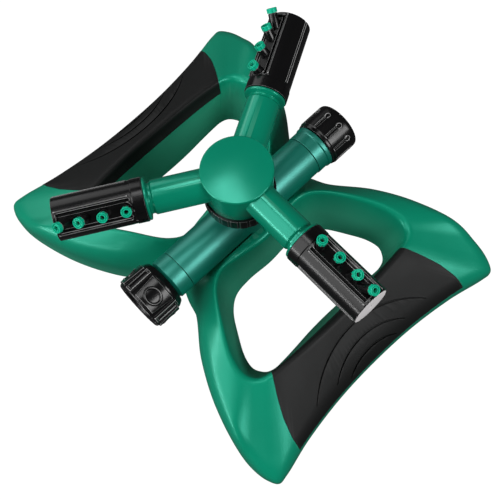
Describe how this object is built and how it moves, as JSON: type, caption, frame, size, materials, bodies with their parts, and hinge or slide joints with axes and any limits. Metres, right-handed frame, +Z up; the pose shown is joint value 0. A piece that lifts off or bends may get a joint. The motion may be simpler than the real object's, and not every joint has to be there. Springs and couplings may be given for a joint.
{
  "type": "lawn sprinkler",
  "caption": "Rotary lawn sprinkler: spinning hub with arms of twisting nozzle tubes on a hose-fed pipe, carried by a two-winged stand with grip pads.",
  "frame": {"origin": "on the ground, below the rotor axis and the middle of the stand", "axes": "+Z up along the rotor axis, +X along the water pipe from the hose nut to the end cap, +Y towards the far wing"},
  "size_m": [0.2184, 0.2778, 0.1277],
  "materials": {
    "stand_green": "satin moulded grain",
    "pipe_green": "smooth",
    "rotor_green": "smooth",
    "soft_black": "fine matt texture",
    "black_plastic": "satin",
    "tip_turquoise": "smooth",
    "plug_grey": "satin",
    "seal_rubber": "smooth",
    "bearing_white": "smooth",
    "screw_steel": "plated"
  },
  "bodies": {
    "stand": {"stand_shell": "stand_green", "grip_pad_near": "soft_black", "grip_pad_far": "soft_black", "stand_screw_inlet": "screw_steel", "stand_screw_cap": "screw_steel", "water_pipe": "pipe_green", "inlet_sleeve": "pipe_green", "outlet_sleeve": "pipe_green", "inlet_tail": "black_plastic", "hose_washer": "seal_rubber", "filter_screen": "bearing_white", "spindle": "black_plastic", "thrust_washer": "bearing_white"},
    "hose_nut": {"inlet_nut": "black_plastic"},
    "cap_travel": {"cap_washer": "seal_rubber"},
    "cap": {"end_cap": "black_plastic"},
    "rotor": {"hub_body": "rotor_green", "hub_lid": "rotor_green", "retaining_collar": "black_plastic", "spindle_seal": "seal_rubber", "arm_seal_0": "seal_rubber", "arm_seal_1": "seal_rubber", "arm_seal_2": "seal_rubber"},
    "nozzle_arm_0": {"nozzle_tube_0": "black_plastic", "end_plug_0": "plug_grey", "nozzle_tip_0_0": "tip_turquoise", "nozzle_tip_0_1": "tip_turquoise", "nozzle_tip_0_2": "tip_turquoise", "nozzle_tip_0_3": "tip_turquoise"},
    "nozzle_arm_1": {"nozzle_tube_1": "black_plastic", "end_plug_1": "plug_grey", "nozzle_tip_1_0": "tip_turquoise", "nozzle_tip_1_1": "tip_turquoise", "nozzle_tip_1_2": "tip_turquoise", "nozzle_tip_1_3": "tip_turquoise"},
    "nozzle_arm_2": {"nozzle_tube_2": "black_plastic", "end_plug_2": "plug_grey", "nozzle_tip_2_0": "tip_turquoise", "nozzle_tip_2_1": "tip_turquoise", "nozzle_tip_2_2": "tip_turquoise", "nozzle_tip_2_3": "tip_turquoise"}
  },
  "joints": [
    {"name": "rotor_spin", "type": "hinge", "parent": "stand", "child": "rotor", "pos_m": [0, 0, 0.095], "axis": [0, 0, 1], "continuous": true},
    {"name": "hose_nut_spin", "type": "hinge", "parent": "stand", "child": "hose_nut", "pos_m": [-0.08, 0, 0.052], "axis": [1, 0, 0], "continuous": true},
    {"name": "cap_draw", "type": "slide", "parent": "stand", "child": "cap_travel", "axis": [1, 0, 0], "range_m": [0, 0.016]},
    {"name": "cap_turn", "type": "hinge", "parent": "cap_travel", "child": "cap", "pos_m": [0.08, 0, 0.052], "axis": [1, 0, 0], "range_deg": [0, 2610]},
    {"name": "nozzle_twist_0", "type": "hinge", "parent": "rotor", "child": "nozzle_arm_0", "pos_m": [-0.06, 0.03605, 0.106], "axis": [-0.8572, 0.515, 0], "range_deg": [-50, 130]},
    {"name": "nozzle_twist_1", "type": "hinge", "parent": "rotor", "child": "nozzle_arm_1", "pos_m": [-0.00122, -0.06999, 0.106], "axis": [-0.0175, -0.9998, 0], "range_deg": [-80, 100]},
    {"name": "nozzle_twist_2", "type": "hinge", "parent": "rotor", "child": "nozzle_arm_2", "pos_m": [0.06122, 0.03394, 0.106], "axis": [0.8746, 0.4848, 0], "range_deg": [-54, 126]}
  ],
  "couplings": [
    {"joint": "cap_turn", "follows": "cap_draw", "rad_per_m": 2844}
  ]
}
